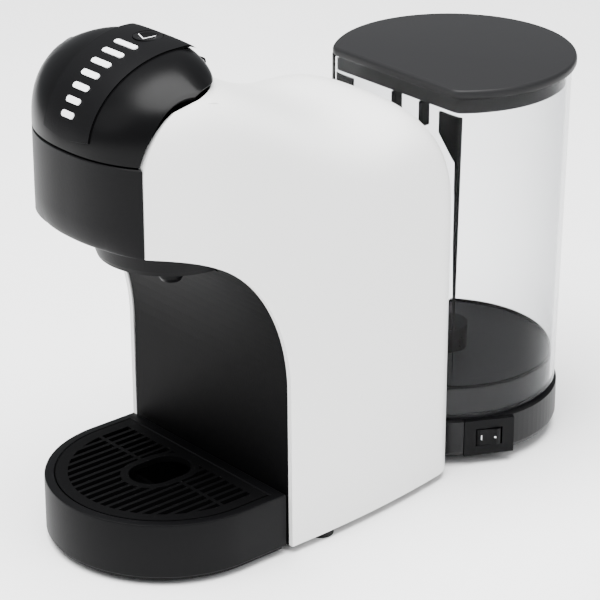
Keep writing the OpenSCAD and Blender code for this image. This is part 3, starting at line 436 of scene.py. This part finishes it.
def lid_outline(s):
    """Half of the lid's outline as s runs from the tip of the nose (0) to the hinge (3)."""
    if s <= 1:
        a = s * math.asin((nose_half(lid_side_y - edge_play) / half_w) ** (nose_n / 2))
        return (half_w * math.sin(a) ** (2 / nose_n),
                nose_cy - nose_b * math.cos(a) ** (2 / nose_n))
    if s <= 2:
        a = math.radians(90 * (s - 1))
        y = crest_y - edge_play - cheek_r * math.cos(a)
        up = max(0.0, cheek_z + (cheek_h + edge_lift) * math.sin(a) - seam_z) / dome_rise(y)
        return (nose_half(y) * (1 - min(1.0, up) ** shoulder_n) ** (1 / shoulder_n), y)
    a = math.radians(90 * (s - 2))
    corner_x = lid_outline(2.0)[0]
    return (corner_x * max(0.0, math.cos(a)),
            crest_y - edge_play + (lid_end_y - crest_y + edge_play) * math.sin(a))


def turned_down(g):
    """How far the rear edge has turned down at share g of the way out from the lid's middle."""
    begin = 0.55
    return 1 - math.sqrt(max(0.0, 1 - (max(0.0, g - begin) / (1 - begin)) ** 2))


def lid_shell():
    around, rings = 168, 40

    def point(ring, k):
        m = k if k <= around // 2 else around - k
        s = 3 * m / (around // 2)
        ex, ey = lid_outline(s)
        ex = ex if k <= around // 2 else -ex
        g = math.cos(math.radians(90 * ring / rings))
        x, y = ex * g, lid_heart.y + (ey - lid_heart.y) * g
        dome = dome_z(x, y)
        lap = white_z(ex, ey) + lid_lap
        share = max(0.0, min(1.0, 1.4 * s - 2.2))
        z = max(seam_z, dome - max(0.0, dome - lap) * share * turned_down(g))
        return Vector((x, y, z + (seam_gap if ring == 0 else 0.0)))

    outer = [point(r, k) for r in range(rings) for k in range(around)] + [point(rings, 0)]
    inner = [inward(p, lid_t) for p in outer]
    count = len(outer)
    faces = []
    for first, flip in ((0, False), (count, True)):
        for r in range(rings - 1):
            for k in range(around):
                a, b = first + r * around + k, first + r * around + (k + 1) % around
                quad = (a, b, b + around, a + around)
                faces.append(quad[::-1] if flip else quad)
        last = first + (rings - 1) * around
        for k in range(around):
            cap = (last + k, last + (k + 1) % around, first + count - 1)
            faces.append(cap[::-1] if flip else cap)
    for k in range(around):
        n = (k + 1) % around
        faces.append((k, count + k, count + n, n))
    return piece("brewing_lid", outer + inner, faces, "lid", looks["black_gloss"], "black_gloss",
                 ["lid_shell"], hole=button_hole)


def lid_knuckle():
    """The tube on the lid that turns on the hinge pin."""
    sides, r_out, r_in = 32, 2.6, 1.25
    points = []
    for x, r in ((-knuckle_half, r_out), (knuckle_half, r_out),
                 (knuckle_half, r_in), (-knuckle_half, r_in)):
        for i in range(sides):
            a = 2 * math.pi * i / sides
            points.append((x, hinge_y + r * math.cos(a), hinge_z + r * math.sin(a)))
    faces = []
    for loop in range(4):
        for i in range(sides):
            a, b = loop * sides + i, loop * sides + (i + 1) % sides
            c = ((loop + 1) % 4) * sides
            faces.append((a, b, c + (i + 1) % sides, c + i))
    return piece("lid_knuckle", points, faces, "lid", looks["black_satin"], "black_gloss",
                 ["lid_shell"])


def knuckle_arm():
    """The short arm that joins the knuckle to the lid's rear edge."""
    front, back = lid_end_y - 1.6, lid_end_y + 1.4
    bottom, top, bevel = hinge_z - 1.8, hinge_z + 0.4, 0.4
    points = []
    for z, inset in ((bottom, bevel), (bottom + bevel, 0.0), (top - bevel, 0.0), (top, bevel)):
        x, low_y, high_y = knuckle_half - inset, front + inset, back - inset
        points += [(-x, low_y, z), (x, low_y, z), (x, high_y, z), (-x, high_y, z)]
    faces = [(3, 2, 1, 0), (12, 13, 14, 15)]
    for layer in range(3):
        for i in range(4):
            a, b = 4 * layer + i, 4 * layer + (i + 1) % 4
            faces.append((a, b, b + 4, a + 4))
    return piece("knuckle_arm", points, faces, "lid", looks["black_satin"], "black_gloss",
                 ["lid_shell"])


def lid_skin_z(x, y):
    """Height of the lid near its middle, where its rear edge turns down."""
    dome = dome_z(x, y)
    lap = white_z(x, lid_end_y) + lid_lap
    g = min(1.0, max(0.0, y - lid_heart.y) / (lid_end_y - lid_heart.y))
    return dome - max(0.0, dome - lap) * turned_down(g)


def lid_band(name, wider, lift, material, slot, stands_for):
    """A band along the middle of the lid, whose rear end sinks into the lid."""
    rows, cols = 90, 25
    front_gap, front_y, rear_y = 0.4, nose_cy - nose_b, lid_end_y - 7.0
    front_half, rear_more, widening = 16.5, 4.5, 50
    sunk, sink_length = 0.02, 2.5

    def station(i, c):
        f = 1 - math.cos(math.radians(90 * i / (rows - 1)))
        reach = min(1.0, (0.5 + (rear_y - front_y) * f) / widening)
        x = (front_half + wider + rear_more * reach) * c
        tip = nose_cy - nose_b * (1 - (abs(x) / half_w) ** nose_n) ** (1 / nose_n)
        y = tip + front_gap + (rear_y - tip) * f
        return Vector((x, min(y, rear_y + i / rows), lid_skin_z(x, y)))

    points = []
    for height in (lift, sunk):
        for i in range(rows):
            for j in range(cols):
                c = 2 * j / (cols - 1) - 1
                place = station(i, c)
                fade = min(1.0, max(0.0, rear_y - place.y) / sink_length)
                points.append(inward(place, -(sunk + (height - sunk) * fade)))
    n = rows * cols
    row = list(range(cols))
    edge = [i * cols for i in range(rows)]
    faces = grid(rows, cols, 0) + grid(rows, cols, n, True)
    faces += band(row, [r + n for r in row], True)
    faces += band([r + n - cols for r in row], [r + 2 * n - cols for r in row])
    faces += band(edge, [e + n for e in edge])
    faces += band([e + cols - 1 for e in edge], [e + cols - 1 + n for e in edge], True)
    return piece(name, points, faces, "lid", material, slot, stands_for, hole=button_hole)


lid_shell()
lid_knuckle()
knuckle_arm()
lid_band("control_band", 0.0, strip_t, looks["black_satin"], "black_satin", ["control_strip"])
# A dark sheet a little wider than the control band, just under it: painted shade, a dark line standing
# in for the shadow in the groove between band and lid.
lid_band("groove_shade_band", 0.8, 0.12, looks["darkest_black"], "black_satin", [])


# ---------------------------------------------------------------- head fascia
def head_fascia():
    """The black nose, whose lower edge rounds inward, less so towards the white shell."""
    wall, edge_gap, round_in, round_up = 2.4, 0.8, 3.0, 13.0
    steps, round_steps, edge_bevel = 90, 12, 0.4
    rear = lid_side_y - 0.3

    def outline(inset, z, rounded=0.0):
        right = []
        for i in range(steps + 1):
            t = inset + rounded * min(1.0, 2.0 * (1 - i / steps))
            last = math.acos((nose_cy - rear) / (nose_b - t))
            y = nose_cy - (nose_b - t) * math.cos(last * i / steps)
            right.append((nose_half(y, t), y, z))
        left = [(-x, y, z) for x, y, _ in reversed(right[1:])]
        return left + right

    outer = []
    for i in range(round_steps + 1):
        a = math.radians(90 * i / round_steps)
        outer.append(outline(0.0, head_z + round_up * (1 - math.cos(a)),
                             round_in * (1 - math.sin(a))))
    outer.append(outline(0.0, seam_z - edge_gap - 0.5))
    outer.append(outline(edge_bevel, seam_z - edge_gap))
    inner = [outline(wall + edge_bevel, seam_z - edge_gap), outline(wall, head_z, round_in)]
    n = len(outer[0])
    loops = outer + inner
    points = [p for loop in loops for p in loop]
    faces = []
    for k in range(len(loops)):
        a, b = k * n, ((k + 1) % len(loops)) * n
        faces += [(a + i, a + i + 1, b + i + 1, b + i) for i in range(n - 1)]
    for end in (0, n - 1):
        faces.append(tuple(k * n + end for k in range(len(loops))))
    return piece("nose_fascia", points, faces, "machine", looks["black_satin"], "black_satin",
                 ["head_fascia"])


head_fascia()


# ---------------------------------------------------------------- drip tray
tray_cy, tray_r, tray_back = -29.5, 60.0, -3.2
rear_extra = 1.3  # how much thicker the rear wall is than the others


def tray_outline(inset, z, back):
    """A half circle with straight sides, set in from the tray's outside, closed at the back."""
    steps, r = 96, tray_r - inset
    outline = [(r * math.cos(b), tray_cy + r * math.sin(b), z)
               for b in (math.pi * (1 + i / steps) for i in range(steps + 1))]
    return outline + [(r, back - inset, z), (-r, back - inset, z)]


def drip_tray():
    """The tray, with softly rounded edges, as insets and heights up the outside and down the inside."""
    top, ledge = 32.7, 29.7
    outside = [(2.1, 2.2), (1.5, 2.8), (1.5, 4.2), (0.6, 4.2), (0.0, 4.9), (0.0, top - 1.1),
               (0.3, top - 0.3), (1.0, top)]
    inside = [(4.6, top), (5.1, top - 0.5), (5.1, ledge), (8.0, ledge), (8.0, 5.4), (8.8, 4.6)]
    loops = [tray_outline(inset, z, tray_back) for inset, z in outside]
    loops += [tray_outline(inset, z, tray_back - rear_extra) for inset, z in inside]
    points, faces = skin(loops, False)
    return piece("tray_body", points, faces, "drip_tray", looks["black_satin"], "black_satin",
                 ["drip_tray"])


drip_tray()


# ---------------------------------------------------------------- water tank
tank_cy, cover_cy, chord_y = 160.0, 162.0, 119.2


def d_ring(r, chord, wall, low, high):
    """Loops of an upright ring that follows the tank's outline."""
    corners = [(0.0, low), (0.0, high), (wall, high), (wall, low)]
    return [d_outline(r - inset, tank_cy, chord + inset, 4.0, z) for inset, z in corners]


def tank_lid():
    """The tank's lid: a plate with a rounded edge, and the skirt below it."""
    low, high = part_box("tank_lid")
    top, bottom, plate_r = high.z / MM, 202.1, 62.5
    edges = [(1.0, bottom), (0.3, bottom + 0.3), (0.0, bottom + 1.0), (0.0, top - 1.6),
             (0.3, top - 0.7), (0.9, top - 0.15), (1.7, top)]
    loops = [d_outline(plate_r - inset, cover_cy, chord_y - 0.4 + inset, 8.0, z)
             for inset, z in edges]
    piece("cover_plate", *skin(loops, False), "tank_lid", looks["tank_lid"], "black_satin",
          ["tank_lid"])
    loops = d_ring(58.5, chord_y + 2.7, 2.0, low.z / MM, bottom + 0.2)
    piece("cover_skirt", *skin(loops, True), "tank_lid", looks["tank_lid"], "black_satin",
          ["tank_lid"])


def floor_ring():
    """A thin dark ring round the tank's floor, drawn for the dark line at the floor's rim."""
    floor_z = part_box("tank_bottom")[1].z / MM
    loops = d_ring(56.7, chord_y + 2.4, 1.1, floor_z, floor_z + 1.6)
    piece("floor_ring", *skin(loops, True), "tank", looks["darkest_black"], "black_satin", [])


def valve_coil():
    """The valve's spring, as a fixed coil; the real spring shortens as the dock lifts the valve."""
    turns, steps, sides, coil_r, wire_r, travel = 4, 40, 10, 4.6, 0.4, 3.0
    low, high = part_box("valve_spring")
    bottom, top = low.z / MM + wire_r, high.z / MM - wire_r
    last = turns * steps
    points = []
    for i in range(last + 1):
        a = 2 * math.pi * i / steps
        z = bottom + (top - bottom) * i / last
        for k in range(sides):
            b = 2 * math.pi * k / sides
            r = coil_r + wire_r * math.cos(b)
            points.append((r * math.cos(a), tank_cy + r * math.sin(a), z + wire_r * math.sin(b)))
    faces = [(i * sides + k, i * sides + (k + 1) % sides,
              (i + 1) * sides + (k + 1) % sides, (i + 1) * sides + k)
             for i in range(last) for k in range(sides)]
    faces += [tuple(range(sides))[::-1], tuple(range(last * sides, (last + 1) * sides))]
    made = piece("valve_coil", points, faces, "tank_valve", looks["steel"], "steel",
                 ["valve_spring"])
    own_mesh(made)


tank_lid()
floor_ring()
valve_coil()


# ---------------------------------------------------------------- printed marks
mark_t, mark_lift = 0.12, 0.05


def slab(name, outline, place, body, material, slot):
    """A thin flat mark: an outline in mm, set on a surface by the placing function."""
    points = [place(u, v, h) for h in (0.0, mark_t) for u, v in outline]
    return piece(name, points, prism(len(outline)), body, material, slot, [])


def bar(start, end, width):
    """Outline of a straight bar with rounded ends."""
    steps = 8
    (x0, y0), (x1, y1) = start, end
    a = math.atan2(y1 - y0, x1 - x0)
    outline = []
    for (cx, cy), turn in (((x1, y1), -90), ((x0, y0), 90)):
        for i in range(steps + 1):
            b = a + math.radians(turn + 180 * i / steps)
            outline.append((cx + width / 2 * math.cos(b), cy + width / 2 * math.sin(b)))
    return outline


def button_marks():
    """Two strokes that follow the button's dish."""
    proud, dish_up, dish_r = 0.6, 17.2, 18.0
    dish_z = seam_z + dome_h + proud + dish_up

    def on_button(u, v, h):
        drop = math.sqrt(dish_r ** 2 - u * u - v * v)
        return (u, button_y + v, dish_z - drop + mark_lift + h)

    corner = (1.6, -4.0)
    for name, end in (("tick_long", (1.5, 3.0)), ("tick_short", (-4.6, -1.8))):
        slab(name, bar(corner, end, 0.6), on_button, "start_button", looks["light_bar"],
             "light_bar")


def rocker_marks():
    """A bar and a dot on the rocker's hollow face."""
    panel_x, panel_y, panel_z = 56.4, 138.7, 15.8
    hollow_x, hollow_r, pivot = 19.6, 15.0, Vector((4.0, 0.0))
    turn = Matrix.Rotation(math.radians(-27.0), 2)
    tilt = Matrix.Rotation(math.radians(-8.0), 2)

    def on_rocker(u, v, h):
        face = hollow_x - math.sqrt(hollow_r ** 2 - u * u) + mark_lift + h
        spot = turn @ (tilt @ Vector((face, u)) - pivot)
        return (panel_x + spot.x, panel_y + spot.y, panel_z + v)

    slab("rocker_bar", bar((-3.6, -1.1), (-3.6, 1.1), 0.5), on_rocker, "rocker",
         looks["light_bar"], "light_bar")
    slab("rocker_dot", bar((3.6, -0.05), (3.6, 0.05), 1.0), on_rocker, "rocker",
         looks["light_bar"], "light_bar")


rocker_marks()
button_marks()


# ---------------------------------------------------------------- floor, light and camera
def floor():
    size, gap = 6.0, 0.0002
    mesh = bpy.data.meshes.new("floor")
    corners = [(-size, -size), (size, -size), (size, size), (-size, size)]
    mesh.from_pydata([(x, y, cad_low.z - gap) for x, y in corners], [], [(0, 1, 2, 3)])
    mesh.materials.append(surface("pale_floor", (0.94, 0.94, 0.94), 0.6, grain=0.02, shine=0.2))
    made = bpy.data.objects.new("floor", mesh)
    bpy.context.collection.objects.link(made)


def direction(azimuth, elevation):
    """Unit vector from the machine towards a place seen at these angles, in degrees."""
    a, e = math.radians(azimuth), math.radians(elevation)
    return Vector((math.sin(a) * math.cos(e), -math.cos(a) * math.cos(e), math.sin(e)))


def soft_light(name, azimuth, elevation, distance, size, power):
    lamp = bpy.data.lights.new(name, "AREA")
    lamp.shape = "DISK"
    lamp.size = size
    lamp.energy = power
    made = bpy.data.objects.new(name, lamp)
    bpy.context.collection.objects.link(made)
    back = direction(azimuth, elevation)
    made.location = Vector((0, 0, 0.13)) + back * distance
    made.rotation_euler = (-back).to_track_quat("-Z", "Y").to_euler()


floor()
soft_light("overhead", 20, 78, 2.2, 2.4, 270)
soft_light("front", -20, 30, 1.6, 1.0, 4)
soft_light("side", 100, 32, 1.6, 1.0, 9)

world = bpy.data.worlds.new("studio")
world.use_nodes = True
world.node_tree.nodes["Background"].inputs["Color"].default_value = (0.95, 0.97, 1.0, 1.0)
world.node_tree.nodes["Background"].inputs["Strength"].default_value = 0.5
bpy.context.scene.world = world

view = bpy.data.cameras.new("view")
view.lens = 162.0
view.sensor_width = 36.0
camera = bpy.data.objects.new("view", view)
bpy.context.collection.objects.link(camera)
camera.location = (0.9369, -0.8238, 0.6459)
camera.rotation_euler = (-direction(49.01, 23.83)).to_track_quat("-Z", "Y").to_euler()
bpy.context.scene.camera = camera
